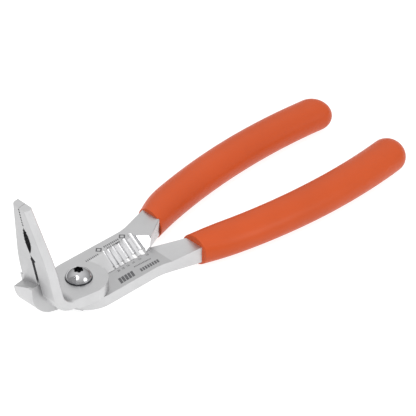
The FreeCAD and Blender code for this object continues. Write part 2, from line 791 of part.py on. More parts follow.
def make_washer():
    """Dished spring washer under the screw's head, drawn as it sits when tightened."""
    washer = doc.addObject("Part::Cut", "spring_washer")
    washer.Label = "spring_washer"
    disc = doc.addObject("Part::Cone", "washer_disc")
    disc.setExpression("Radius1", size["washer_radius"].text)
    disc.setExpression("Radius2", (size["washer_radius"] - size["washer_dish"]).text)
    disc.setExpression("Height", size["washer_thickness"].text)
    hole = doc.addObject("Part::Cylinder", "washer_hole")
    hole.setExpression("Radius", (size["shank_radius"] + size["shank_gap"]).text)
    hole.setExpression("Height", size["washer_thickness"].text)
    for piece in (disc, hole):
        piece.setExpression("Placement.Base.z", PLATE_TOP.text)
    washer.Base = disc
    washer.Tool = hole
    return washer


def make_nut():
    """Thin hexagon lock nut, flush with the plane that the pliers rest on."""
    body = doc.addObject("PartDesign::Body", "pivot_nut")
    body.Label = "pivot_nut"

    def draw_nut(sketch):
        corner = size["nut_across_flats"] / (cosine(30) * 2)
        add_outline(sketch, [(corner * cosine(60 * index), corner * sine(60 * index)) for index in range(6)])
        add_circle(sketch, 0, 0, size["shank_radius"])
    add_feature(body, "Pad", "hexagon", "XY_Plane", 0, size["nut_height"], draw_nut)
    return body


def check_model(pieces):
    """Stops if any object failed or any piece has no valid solid."""
    for item in doc.Objects:
        if "Invalid" in item.State or "Error" in item.State:
            raise RuntimeError("%s failed: %s" % (item.Name, item.State))
    for piece in pieces:
        if piece.Shape.isNull() or not piece.Shape.isValid() or not piece.Shape.Solids:
            raise RuntimeError("%s has no valid solid" % piece.Label)


def main():
    upper = make_half("upper_half", 1, size["upper_bend_start"],
                      size["upper_root_half_width"], size["upper_cheek_start"])
    lower = make_half("lower_half", -1, size["lower_bend_start"],
                      size["lower_root_half_width"], size["lower_cheek_start"])
    pieces = [upper, lower, make_grip("upper_grip", 1, upper), make_grip("lower_grip", -1, lower),
              make_screw(), make_washer(), make_nut()]
    doc.recompute()
    check_model(pieces)
    os.makedirs("parts", exist_ok=True)
    for piece in pieces:
        piece.Shape.exportStep("parts/%s.step" % piece.Label)
        box = piece.Shape.BoundBox
        print("%-14s %9.1f mm3  x %.2f..%.2f  y %.2f..%.2f  z %.2f..%.2f" % (
            piece.Label, piece.Shape.Volume, box.XMin, box.XMax, box.YMin, box.YMax, box.ZMin, box.ZMax))


main()
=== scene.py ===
"""The looks of the bent-nose wire stripping pliers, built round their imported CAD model.

Metres, in the CAD model's frame: the pivot axis is Z at the origin, +X runs to the handles, and the
pliers rest on Z = 0.  Positions come from the CAD nodes' boxes and from the joint.
"""
import json
import math

import bmesh
import bpy
from bpy.props import FloatProperty, FloatVectorProperty, IntProperty, PointerProperty
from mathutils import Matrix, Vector

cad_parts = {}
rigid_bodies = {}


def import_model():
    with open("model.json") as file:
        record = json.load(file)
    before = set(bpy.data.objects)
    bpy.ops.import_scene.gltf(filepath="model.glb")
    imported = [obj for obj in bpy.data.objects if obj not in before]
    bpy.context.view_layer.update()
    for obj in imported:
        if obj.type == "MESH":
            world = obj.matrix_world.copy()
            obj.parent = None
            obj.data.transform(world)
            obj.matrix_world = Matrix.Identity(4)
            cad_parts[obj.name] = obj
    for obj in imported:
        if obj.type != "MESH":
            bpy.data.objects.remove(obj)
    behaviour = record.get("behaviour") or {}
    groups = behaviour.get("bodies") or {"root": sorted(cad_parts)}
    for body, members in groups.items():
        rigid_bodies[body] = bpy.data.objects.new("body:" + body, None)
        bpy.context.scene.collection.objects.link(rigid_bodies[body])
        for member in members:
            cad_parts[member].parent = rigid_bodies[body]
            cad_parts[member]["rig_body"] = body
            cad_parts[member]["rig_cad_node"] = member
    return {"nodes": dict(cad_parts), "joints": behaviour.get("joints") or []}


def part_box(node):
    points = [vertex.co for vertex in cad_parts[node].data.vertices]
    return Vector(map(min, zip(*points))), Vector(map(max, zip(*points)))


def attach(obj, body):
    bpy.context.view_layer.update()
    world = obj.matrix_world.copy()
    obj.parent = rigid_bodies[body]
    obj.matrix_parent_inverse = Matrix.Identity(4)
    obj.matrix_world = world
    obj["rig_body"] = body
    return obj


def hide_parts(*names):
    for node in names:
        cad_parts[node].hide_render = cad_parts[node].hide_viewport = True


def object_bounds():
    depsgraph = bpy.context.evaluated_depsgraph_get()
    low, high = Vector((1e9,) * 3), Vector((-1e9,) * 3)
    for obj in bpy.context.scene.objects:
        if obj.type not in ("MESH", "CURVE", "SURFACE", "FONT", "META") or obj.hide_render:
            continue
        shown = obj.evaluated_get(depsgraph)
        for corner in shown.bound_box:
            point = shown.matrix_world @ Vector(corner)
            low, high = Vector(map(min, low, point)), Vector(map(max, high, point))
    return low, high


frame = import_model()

bl_info = {
    "name": "Bent Nose Wire Stripping Pliers",
    "version": (1, 0, 0),
    "blender": (4, 5, 0),
    "location": "View3D > Sidebar > Pliers",
    "description": "Steel halves, dipped grips, pivot and gauge marks around a fixed CAD frame",
    "category": "Object",
}

MM = 0.001
CAD_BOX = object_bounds()
LAP_Z = frame["joints"][0]["pos_m"][2]
PLATE_TOP_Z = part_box("spring_washer")[0].z
PLATE = PLATE_TOP_Z - LAP_Z
MOUTH_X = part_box("upper_grip")[0].x
SCREW_TOP_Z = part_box("pivot_screw")[1].z

HALF_LAP_GAP = 0.03 * MM        # from the lap plane to each half's face
BLADE_START_X = 10.4 * MM       # the bevel, flutes and holes lie between these
BLADE_END_X = 39.6 * MM
BLADE_HALF_WIDTH = 6.1 * MM
GROUND_START_X = 16.0 * MM      # the part of the bevel that is freshly ground
GROUND_END_X = 39.4 * MM
GROUND_Y = (-1.3 * MM, 5.75 * MM)
JAW_FACE_X = -12.0 * MM         # the jaws' meeting faces lie further out than this
JAW_FACE_HALF_WIDTH = 2.9 * MM
JAW_OUTER_Y = 3.9 * MM          # a jaw's outer side lies beyond this
JAW_EDGE_LENGTH = 4.0 * MM
PIVOT_HOLE_REACH = 3.5 * MM
HIDDEN_RUN = 2.0 * MM           # past this into a grip, nothing of the tang shows
SOCKET_REACH = 2.6 * MM
SOCKET_DEPTH = 1.0 * MM
ON_PLANE = 0.01 * MM            # how near a plane a point counts as lying on it
NEAR_PLANE = 0.1 * MM
MERGE_DISTANCE = 0.0005 * MM
FLAT_ANGLE = math.radians(0.4)
BROKEN_EDGE_ANGLE = math.radians(32)
PIVOT_EDGE_ANGLE = math.radians(40)
PIVOT_EDGE_BEVEL = 0.08 * MM

FIRST_HOLE_X = 18.2 * MM        # the stripping holes, which the gauge numbers stand beside
FIRST_HOLE_RADIUS = 0.5 * MM
HOLE_GROWTH = 1.265
HOLE_WEB = 1.15 * MM
HOLE_COUNT = 6
NUMBER_SHIFT_X = 0.3 * MM
NUMBER_Y = -2.75 * MM


# ---------------------------------------------------------------- settings

class SteelSettings(bpy.types.PropertyGroup):
    edge_bevel: FloatProperty(name="Edge bevel", description="Width of the broken edges of the forged halves",
                              default=0.25 * MM, min=0.0, subtype="DISTANCE", unit="LENGTH")
    jaw_rounding: FloatProperty(name="Jaw rounding", description="Rounding of the lower jaw's back edge",
                                default=0.9 * MM, min=0.0, subtype="DISTANCE", unit="LENGTH")
    satin_colour: FloatVectorProperty(name="Satin steel", description="Colour of the blasted steel",
                                      subtype="COLOR", size=3, default=(0.58, 0.58, 0.585), min=0, max=1)
    ground_colour: FloatVectorProperty(name="Ground steel", description="Colour of the ground blade faces",
                                       subtype="COLOR", size=3, default=(0.66, 0.66, 0.67), min=0, max=1)
    polished_colour: FloatVectorProperty(name="Polished steel", description="Colour of the screw and nut",
                                         subtype="COLOR", size=3, default=(0.42, 0.42, 0.43), min=0, max=1)
    # painted shade: a darker steel painted on the lap recess under the upper half and on the jaws' fronts
    painted_shade_steel_colour: FloatVectorProperty(name="Recess steel", description="Colour of the milled lap recess",
                                       subtype="COLOR", size=3, default=(0.50, 0.50, 0.505), min=0, max=1)
    # painted shade: the near-black colour painted on the jaws' meeting faces where they lie in the narrow gap
    # between the jaws
    painted_gap_shade_colour: FloatVectorProperty(name="Dark steel", description="Colour inside the jaws' meeting faces",
                                     subtype="COLOR", size=3, default=(0.06, 0.06, 0.063), min=0, max=1)
    # also the painted shade inside the screw's socket
    washer_and_socket_shade_colour: FloatVectorProperty(name="Washer", description="Colour of the black spring washer",
                                       subtype="COLOR", size=3, default=(0.035, 0.036, 0.04), min=0, max=1)


class GripSettings(bpy.types.PropertyGroup):
    colour: FloatVectorProperty(name="Vinyl", description="Colour of the dipped vinyl",
                                subtype="COLOR", size=3, default=(0.51, 0.068, 0.0085), min=0, max=1)
    lip_radius: FloatProperty(name="Lip radius", description="How round the rim of each grip's mouth is",
                              default=0.75 * MM, min=0.0, subtype="DISTANCE", unit="LENGTH")


class MarkSettings(bpy.types.PropertyGroup):
    colour: FloatVectorProperty(name="Etching", description="Colour of the etched marks",
                                subtype="COLOR", size=3, default=(0.055, 0.055, 0.058), min=0, max=1)
    relief: FloatProperty(name="Relief", description="How far the marks' top stands off the steel",
                          default=0.012 * MM, min=0.0, subtype="DISTANCE", unit="LENGTH")
    depth: FloatProperty(name="Depth", description="Thickness of the marks",
                         default=0.04 * MM, min=0.0, subtype="DISTANCE", unit="LENGTH")
    number_size: FloatProperty(name="Number height", description="Height of the wire gauge numbers",
                               default=1.45 * MM, min=0.0, subtype="DISTANCE", unit="LENGTH")
    largest_gauge: IntProperty(name="First gauge", description="Gauge number at the smallest hole",
                               default=20, min=2)
    gauge_step: IntProperty(name="Gauge step", description="How much each gauge number falls by",
                            default=2, min=1)


class StageSettings(bpy.types.PropertyGroup):
    azimuth: FloatProperty(name="Azimuth", description="Camera's turn round the pliers",
                           default=math.radians(-43.851), subtype="ANGLE", unit="ROTATION")
    elevation: FloatProperty(name="Elevation", description="Camera's height above the horizon",
                             default=math.radians(35.6015), subtype="ANGLE", unit="ROTATION")
    distance: FloatProperty(name="Distance", description="From the camera to what it looks at",
                            default=0.79359, min=0.01, subtype="DISTANCE", unit="LENGTH")
    target_x: FloatProperty(name="Target X", description="How far along the handles the camera looks",
                            default=69.346 * MM, subtype="DISTANCE", unit="LENGTH")
    target_y: FloatProperty(name="Target Y", description="How far across the handles the camera looks",
                            default=-1.413 * MM, subtype="DISTANCE", unit="LENGTH")
    lens: FloatProperty(name="Lens", description="Focal length on a 36 mm sensor", default=165.65, min=1.0)
    floor_colour: FloatVectorProperty(name="Floor", description="Colour of the pale floor",
                                      subtype="COLOR", size=3, default=(0.30, 0.30, 0.30), min=0, max=1)
    floor_glow: FloatProperty(name="Floor glow", description="Light that comes up through the floor",
                              default=0.86, min=0.0)
    sky_low: FloatProperty(name="Low sky", description="Brightness near the horizon", default=0.45, min=0.0)
    sky_high: FloatProperty(name="High sky", description="Brightness overhead", default=1.28, min=0.0)
    key_power: FloatProperty(name="Key light", description="Power of the large light above the nose",
                             default=4.0, min=0.0, unit="POWER")
    fill_power: FloatProperty(name="Fill light", description="Power of the light beside the near handle",
                              default=2.0, min=0.0, unit="POWER")


# ---------------------------------------------------------------- modelling helpers

def deselect_all():
    if bpy.context.object and bpy.context.object.mode != "OBJECT":
        bpy.ops.object.mode_set(mode="OBJECT")
    bpy.ops.object.select_all(action="DESELECT")


def make_active(piece):
    deselect_all()
    piece.hide_set(False)
    piece.select_set(True)
    bpy.context.view_layer.objects.active = piece


def rest_in_frame(piece):
    """Puts a piece's place into its mesh, so that its object sits at the origin."""
    make_active(piece)
    bpy.ops.object.transform_apply(location=True, rotation=True, scale=True)


def copy_of_node(node, name):
    """A merged copy of a CAD node's mesh, with its flat faces made whole again."""
    make_active(frame["nodes"][node])
    bpy.ops.object.duplicate()
    piece = bpy.context.object
    piece.name = name
    piece.data.name = name
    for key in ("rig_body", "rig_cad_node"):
        del piece[key]
    piece.parent = None
    piece.data.materials.clear()
    bpy.ops.object.mode_set(mode="EDIT")
    bpy.ops.mesh.select_all(action="SELECT")
    bpy.ops.mesh.remove_doubles(threshold=MERGE_DISTANCE)
    bpy.ops.mesh.dissolve_limited(angle_limit=FLAT_ANGLE)
    bpy.ops.mesh.select_all(action="DESELECT")
    bpy.ops.object.mode_set(mode="OBJECT")
    return piece


def bevel_edges(piece, wanted, width, segments):
    """Rounds the edges of a piece that pass a test, which is given each edge and its middle."""
    make_active(piece)
    bpy.ops.object.mode_set(mode="EDIT")
    bpy.ops.mesh.select_mode(type="EDGE")
    bpy.ops.mesh.select_all(action="DESELECT")
    mesh = bmesh.from_edit_mesh(piece.data)
    count = 0
    for edge in mesh.edges:
        if len(edge.link_faces) != 2:
            continue
        middle = (edge.verts[0].co + edge.verts[1].co) / 2
        if wanted(middle, edge):
            edge.select_set(True)
            count += 1
    bmesh.update_edit_mesh(piece.data)
    if not count:
        raise RuntimeError("%s has no edge to round" % piece.name)
    bpy.ops.mesh.bevel(offset=width, segments=segments, profile=0.5, affect="EDGES", clamp_overlap=True)
    bpy.ops.mesh.select_all(action="DESELECT")
    bpy.ops.object.mode_set(mode="OBJECT")


def smooth(piece, degrees=32):
    """Shades a piece smooth up to an angle, with its large flat faces kept flat."""
    make_active(piece)
    bpy.ops.object.shade_smooth_by_angle(angle=math.radians(degrees))
    weighted = piece.modifiers.new("flats", "WEIGHTED_NORMAL")
    weighted.keep_sharp = True
    bpy.ops.object.modifier_apply(modifier="flats")


def hand_over(piece, body, slot, *nodes):
    """Ties a finished piece to its body, and hides the CAD nodes that it stands for."""
    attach(piece, body)
    if nodes:
        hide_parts(*nodes)


# ---------------------------------------------------------------- material helpers

def new_material(name):
    material = bpy.data.materials.new(name)
    material.use_nodes = True
    tree = material.node_tree
    return material, tree, tree.nodes["Principled BSDF"]


def object_pattern(tree, scale):
    """Object coordinates times a scale, which may differ along each axis."""
    place = tree.nodes.new("ShaderNodeTexCoord")
    mapping = tree.nodes.new("ShaderNodeMapping")
    mapping.inputs["Scale"].default_value = scale
    tree.links.new(place.outputs["Object"], mapping.inputs["Vector"])
    return mapping.outputs["Vector"]


def noise(tree, vector, scale, detail=3.0, roughness=0.55):
    texture = tree.nodes.new("ShaderNodeTexNoise")
    texture.inputs["Scale"].default_value = scale
    texture.inputs["Detail"].default_value = detail
    texture.inputs["Roughness"].default_value = roughness
    tree.links.new(vector, texture.inputs["Vector"])
    return texture.outputs["Fac"]


def ramp(tree, value, low, high, first, last):
    """Maps a value between two stops to two greys or colours."""
    node = tree.nodes.new("ShaderNodeValToRGB")
    node.color_ramp.elements[0].position = low
    node.color_ramp.elements[1].position = high
    node.color_ramp.elements[0].color = (*first, 1.0)
    node.color_ramp.elements[1].color = (*last, 1.0)
    tree.links.new(value, node.inputs["Fac"])
    return node.outputs["Color"]


def add_bump(tree, shader, height, strength, distance, before=None):
    bump = tree.nodes.new("ShaderNodeBump")
    bump.inputs["Strength"].default_value = strength
    bump.inputs["Distance"].default_value = distance
    tree.links.new(height, bump.inputs["Height"])
    if before:
        tree.links.new(before, bump.inputs["Normal"])
    tree.links.new(bump.outputs["Normal"], shader.inputs["Normal"])
    return bump.outputs["Normal"]


def shade(colour, factor):
    return tuple(min(1.0, part * factor) for part in colour)


def grey(value):
    return (value, value, value)


# ---------------------------------------------------------------- materials

def satin_steel(name, colour):
    """Bead-blasted alloy steel: a fine even grain, with faint handling marks."""
    material, tree, shader = new_material(name)
    shader.inputs["Metallic"].default_value = 1.0
    place = object_pattern(tree, (1, 1, 1))
    mottle = noise(tree, place, 90.0, 4.0)
    tone = ramp(tree, mottle, 0.35, 0.65, shade(colour, 0.965), shade(colour, 1.02))
    tree.links.new(tone, shader.inputs["Base Color"])
    gloss = ramp(tree, noise(tree, place, 240.0, 3.0), 0.3, 0.7, grey(0.36), grey(0.44))
    tree.links.new(gloss, shader.inputs["Roughness"])
    grain = noise(tree, place, 4200.0, 2.0)
    first = add_bump(tree, shader, grain, 0.10, 0.02 * MM)
    scratches = noise(tree, object_pattern(tree, (60, 900, 900)), 1.0, 2.0)
    add_bump(tree, shader, scratches, 0.05, 0.02 * MM, first)
    return material


def ground_steel(colour):
    """Freshly ground blade steel, brighter, with fine lines down the bevel."""
    material, tree, shader = new_material("ground_steel")
    shader.inputs["Metallic"].default_value = 1.0
    shader.inputs["Base Color"].default_value = (*colour, 1.0)
    lines = noise(tree, object_pattern(tree, (1800, 200, 200)), 1.0, 2.0)
    gloss = ramp(tree, lines, 0.3, 0.7, grey(0.28), grey(0.36))
    tree.links.new(gloss, shader.inputs["Roughness"])
    return material


def jaw_steel_with_gap_shade(painted_gap_shade, bright):
    """The jaws' meeting faces: painted shade, near black, up in the narrow gap between the jaws, and the
    satin steel colour on the bulge below it.
    """
    material, tree, shader = new_material("jaw_steel_with_gap_shade")
    shader.inputs["Metallic"].default_value = 0.9
    height = tree.nodes.new("ShaderNodeSeparateXYZ")
    tree.links.new(tree.nodes.new("ShaderNodeTexCoord").outputs["Object"], height.inputs["Vector"])
    # painted shade: the steel turns near black with height, up where the gap between the jaws is narrow
    share = tree.nodes.new("ShaderNodeMapRange")
    share.inputs["From Min"].default_value = LAP_Z + 2.3 * PLATE
    share.inputs["From Max"].default_value = LAP_Z + 2.9 * PLATE
    tree.links.new(height.outputs["Z"], share.inputs["Value"])
    tone = ramp(tree, share.outputs["Result"], 0.0, 1.0, bright, painted_gap_shade)
    tree.links.new(tone, shader.inputs["Base Color"])
    shader.inputs["Roughness"].default_value = 0.6
    add_bump(tree, shader, noise(tree, object_pattern(tree, (1, 1, 1)), 1800.0), 0.3, 0.02 * MM)
    return material


def polished_steel(colour):
    """Bright plated steel with the faintest ripple."""
    material, tree, shader = new_material("polished_steel")
    shader.inputs["Metallic"].default_value = 1.0
    shader.inputs["Base Color"].default_value = (*colour, 1.0)
    place = object_pattern(tree, (1, 1, 1))
    gloss = ramp(tree, noise(tree, place, 500.0), 0.35, 0.75, grey(0.07), grey(0.14))
    tree.links.new(gloss, shader.inputs["Roughness"])
    add_bump(tree, shader, noise(tree, place, 350.0, 1.0), 0.04, 0.05 * MM)
    return material


def washer_black_and_socket_shade(colour):
    """Blackened spring steel, worn a little paler here and there; on the screw's socket the same black is
    painted shade.
    """
    material, tree, shader = new_material("washer_black_and_socket_shade")
    shader.inputs["Metallic"].default_value = 1.0
    place = object_pattern(tree, (1, 1, 1))
    tone = ramp(tree, noise(tree, place, 700.0), 0.4, 0.8, colour, shade(colour, 2.2))
    tree.links.new(tone, shader.inputs["Base Color"])
    shader.inputs["Roughness"].default_value = 0.38
    return material


def dipped_vinyl(colour):
    """Soft semi-gloss vinyl with the slight waviness of a dipped coat."""
    material, tree, shader = new_material("dipped_vinyl")
    place = object_pattern(tree, (1, 1, 1))
    tone = ramp(tree, noise(tree, place, 35.0, 3.0), 0.3, 0.7, shade(colour, 0.95), shade(colour, 1.03))
    tree.links.new(tone, shader.inputs["Base Color"])
    gloss = ramp(tree, noise(tree, place, 160.0, 3.0), 0.3, 0.7, grey(0.36), grey(0.46))
    tree.links.new(gloss, shader.inputs["Roughness"])
    shader.inputs["IOR"].default_value = 1.45
    shader.inputs["Specular IOR Level"].default_value = 0.35
    first = add_bump(tree, shader, noise(tree, place, 70.0, 1.0), 0.10, 0.4 * MM)
    add_bump(tree, shader, noise(tree, place, 1500.0, 2.0), 0.05, 0.03 * MM, first)
    return material


def etched_black(colour):
    """Dark laser etching, a little uneven."""
    material, tree, shader = new_material("etched_black")
    place = object_pattern(tree, (1, 1, 1))
    tone = ramp(tree, noise(tree, place, 2500.0), 0.35, 0.7, colour, shade(colour, 2.4))
    tree.links.new(tone, shader.inputs["Base Color"])
    shader.inputs["Roughness"].default_value = 0.6
    return material


def pale_floor(colour, glow):
    """A light table: pale, matt and lit from below, so that shadows stay faint."""
    material, tree, shader = new_material("pale_floor")
    shader.inputs["Emission Color"].default_value = (1.0, 1.0, 1.0, 1.0)
    shader.inputs["Emission Strength"].default_value = glow
    mottle = noise(tree, object_pattern(tree, (1, 1, 1)), 12.0)
    tone = ramp(tree, mottle, 0.3, 0.7, shade(colour, 0.995), colour)
    tree.links.new(tone, shader.inputs["Base Color"])
    shader.inputs["Roughness"].default_value = 0.9
    return material


# ---------------------------------------------------------------- the forged halves

def in_blade_zone(point):
    """The ground bevel with its flutes and holes, whose edges stay sharp."""
    return BLADE_START_X < point.x < BLADE_END_X and abs(point.y) < BLADE_HALF_WIDTH


def in_jaw_face_zone(point):
    """The faces where the jaws meet, whose teeth stay sharp."""
    return point.x < JAW_FACE_X and abs(point.y) < JAW_FACE_HALF_WIDTH and point.z > LAP_Z


def inside_grip(point):
    return point.x > MOUTH_X + HIDDEN_RUN


def broken_edge(middle, edge):
    """True for the sharp edges that show, away from the blades, the jaw faces and the pivot hole."""
    if in_blade_zone(middle) or in_jaw_face_zone(middle) or inside_grip(middle):
        return False
    if middle.xy.length < PIVOT_HOLE_REACH:
        return False
    return edge.calc_face_angle(0.0) > BROKEN_EDGE_ANGLE


def jaw_back_edge(middle, edge):
    """The long upright edge between a jaw's back and its outer side."""
    run = edge.verts[1].co - edge.verts[0].co
    upright = abs(run.z) >= 0.85 * run.length
    if run.length < JAW_EDGE_LENGTH or not upright or middle.z < LAP_Z + 2 * PLATE:
        return False
    backs = [face for face in edge.link_faces if face.normal.x > 0.9]
    return len(backs) == 1 and abs(middle.y) > JAW_OUTER_Y


def is_jaw_face(polygon):
    """True for the serrated and relieved faces where the jaws meet."""
    return in_jaw_face_zone(polygon.center) and abs(polygon.normal.y) > 0.25


def is_recess(side, polygon):
    """True for the lower half's bare lap face, which the blades' marks are etched on and which is painted a
    darker steel as the shade under the upper half.
    """
    return side < 0 and polygon.normal.z > 0.999 and abs(polygon.center.z - LAP_Z) < NEAR_PLANE


def is_nose_front(polygon):
    """True for the front of each jaw, which is painted a darker steel than the rest as shade."""
    return polygon.normal.x < -0.93 and polygon.center.z > LAP_Z + 2.5 * PLATE


def is_ground(side, polygon):
    """True for the sloping faces of the bevel and its flutes."""
    centre = polygon.center
    if not GROUND_START_X < centre.x < GROUND_END_X:
        return False
    if not GROUND_Y[0] < centre.y * side < GROUND_Y[1]:
        return False
    outward = polygon.normal.z * side
    return 0.12 < outward < 0.985


class PLIERS_OT_halves(bpy.types.Operator):
    """Make the two forged steel halves, with broken edges and ground blades"""
    bl_idname = "pliers.halves"
    bl_label = "Forged Halves"

    def execute(self, context):
        settings = context.scene.pliers_steel
        finishes = [satin_steel("satin_steel", settings.satin_colour),
                    ground_steel(settings.ground_colour),
                    # the darker steel of the recess and the jaw fronts is painted shade
                    satin_steel("painted_shade_steel", settings.painted_shade_steel_colour),
                    jaw_steel_with_gap_shade(settings.painted_gap_shade_colour, settings.satin_colour)]
        for node, body, side in (("upper_half", "upper", 1), ("lower_half", "lower", -1)):
            piece = copy_of_node(node, "forged_" + node)
            for finish in finishes:
                piece.data.materials.append(finish)
            for polygon in piece.data.polygons:
                if is_ground(side, polygon):
                    polygon.material_index = 1
                # painted shade on the lap recess and the jaw fronts
                elif is_recess(side, polygon) or is_nose_front(polygon):
                    polygon.material_index = 2
                # the jaws' meeting faces get the painted gap shade
                elif is_jaw_face(polygon):
                    polygon.material_index = 3
            if side < 0:
                bevel_edges(piece, jaw_back_edge, settings.jaw_rounding, 4)
            bevel_edges(piece, broken_edge, settings.edge_bevel, 2)
            smooth(piece)
            hand_over(piece, body, "steel", node)
        return {"FINISHED"}


# ---------------------------------------------------------------- the grips

class PLIERS_OT_grips(bpy.types.Operator):
    """Make the two dipped vinyl grips, with a rolled rim round each mouth"""
    bl_idname = "pliers.grips"
    bl_label = "Dipped Grips"

    def execute(self, context):
        settings = context.scene.pliers_grip
        vinyl = dipped_vinyl(settings.colour)
        for node, body in (("upper_grip", "upper"), ("lower_grip", "lower")):
            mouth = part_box(node)[0].x
            piece = copy_of_node(node, "dipped_" + node)
            piece.data.materials.append(vinyl)
            rim = [vertex.co for vertex in piece.data.vertices if abs(vertex.co.x - mouth) < ON_PLANE]
            centre = sum(rim, Vector()) / len(rim)

            def outer_rim(middle, edge):
                if max(abs(vertex.co.x - mouth) for vertex in edge.verts) > ON_PLANE:
                    return False
                sides = [face for face in edge.link_faces if abs(face.normal.x) < 0.9]
                return len(sides) == 1 and sides[0].normal.dot(middle - centre) > 0

            bevel_edges(piece, outer_rim, settings.lip_radius, 4)
            smooth(piece, 50)
            hand_over(piece, body, "grip", node)
        return {"FINISHED"}


# ---------------------------------------------------------------- the pivot

def is_socket(polygon):
    """True for the walls and floor of the screw's six-lobe socket, which are painted black as shade."""
    if polygon.center.z < PLATE_TOP_Z + SOCKET_DEPTH or polygon.center.xy.length > SOCKET_REACH:
        return False
    return polygon.normal.z < 0.5 or polygon.center.z < SCREW_TOP_Z - SOCKET_DEPTH


def pivot_edge(middle, edge):
    return edge.calc_face_angle(0.0) > PIVOT_EDGE_ANGLE


class PLIERS_OT_pivot(bpy.types.Operator):
    """Finish the pivot screw, its spring washer and its nut"""
    bl_idname = "pliers.pivot"
    bl_label = "Pivot"

    def execute(self, context):
        settings = context.scene.pliers_steel
        polished = polished_steel(settings.polished_colour)
        black = washer_black_and_socket_shade(settings.washer_and_socket_shade_colour)
        for node, material, slot in (("pivot_screw", polished, "polished_steel"),
                                     ("spring_washer", black, "dark_steel"),
                                     ("pivot_nut", polished, "polished_steel")):
            piece = copy_of_node(node, "finished_" + node)
            piece.data.materials.append(material)
            piece.data.materials.append(black)
            for polygon in piece.data.polygons:
                # the socket's walls and floor are painted black as shade
                polygon.material_index = 1 if is_socket(polygon) else 0
            bevel_edges(piece, pivot_edge, PIVOT_EDGE_BEVEL, 2)
            smooth(piece, 35)
            hand_over(piece, "lower", slot, node)
        return {"FINISHED"}


# ---------------------------------------------------------------- etched marks

def join_marks(parts, name, material, body):
    """Joins marks into one piece and hands it over."""
    deselect_all()
    for part in parts:
        part.select_set(True)
    bpy.context.view_layer.objects.active = parts[0]
    if len(parts) > 1:
        bpy.ops.object.join()
    piece = bpy.context.object
    piece.name = name
    piece.data.name = name
    piece.data.materials.clear()
    piece.data.materials.append(material)
    rest_in_frame(piece)
    hand_over(piece, body, "dark_steel")


def stroke_row(settings, start, end, height, count, fill, slant, surface_z):
    """A row of slanted strokes from start to end, each filling a share of its pitch."""
    start, end = Vector(start), Vector(end)
    pitch = (end - start) / count
    bpy.ops.mesh.primitive_cube_add(size=1.0)
    piece = bpy.context.object
    bpy.ops.object.mode_set(mode="EDIT")
    bpy.ops.mesh.select_all(action="SELECT")
    bpy.ops.transform.resize(value=(pitch.length * fill, height, settings.depth))
    bpy.ops.mesh.select_all(action="DESELECT")
    mesh = bmesh.from_edit_mesh(piece.data)
    for vertex in mesh.verts:
        vertex.select_set(vertex.co.y > 0)
    mesh.select_flush_mode()
    bmesh.update_edit_mesh(piece.data)
    bpy.ops.transform.translate(value=(slant * height, 0, 0))
    bpy.ops.object.mode_set(mode="OBJECT")
    array = piece.modifiers.new("row", "ARRAY")
    array.count = count
    array.use_relative_offset = False
    array.use_constant_offset = True
    array.constant_offset_displace = (pitch.length, 0, 0)
    bpy.ops.object.modifier_apply(modifier="row")
    first = start + pitch / 2
    piece.location = (first.x, first.y, surface_z + settings.relief - settings.depth / 2)
    piece.rotation_euler.z = math.atan2(pitch.y, pitch.x)
    rest_in_frame(piece)
    return piece


def diamond(settings, centre, radius, surface_z):
    """A hollow diamond, drawn as a ring of four corners."""
    bpy.ops.mesh.primitive_cylinder_add(vertices=4, radius=radius, depth=settings.depth)
    piece = bpy.context.object
    bpy.ops.object.mode_set(mode="EDIT")
    bpy.ops.mesh.select_mode(type="FACE")
    mesh = bmesh.from_edit_mesh(piece.data)
    for face in mesh.faces:
        face.select_set(abs(face.normal.z) > 0.9)
    bmesh.update_edit_mesh(piece.data)
    bpy.ops.mesh.inset(thickness=radius * 0.32)
    bpy.ops.mesh.bridge_edge_loops()
    bpy.ops.object.mode_set(mode="OBJECT")
    piece.location = (*centre, surface_z + settings.relief - settings.depth / 2)
    rest_in_frame(piece)
    return piece


def number_mark(settings, text, centre, surface_z):
    """One gauge number, turned to read from the near side."""
    bpy.ops.object.text_add()
    piece = bpy.context.object
    piece.data.body = text
    piece.data.size = settings.number_size
    piece.data.align_x = "CENTER"
    piece.data.align_y = "CENTER"
    piece.data.extrude = settings.depth / 2
    piece.data.offset = 0.02 * MM
    make_active(piece)
    bpy.ops.object.convert(target="MESH")
    piece = bpy.context.object
    piece.location = (*centre, surface_z + settings.relief - settings.depth / 2)
    rest_in_frame(piece)
    return piece


def mm(*values):
    return tuple(value * MM for value in values)


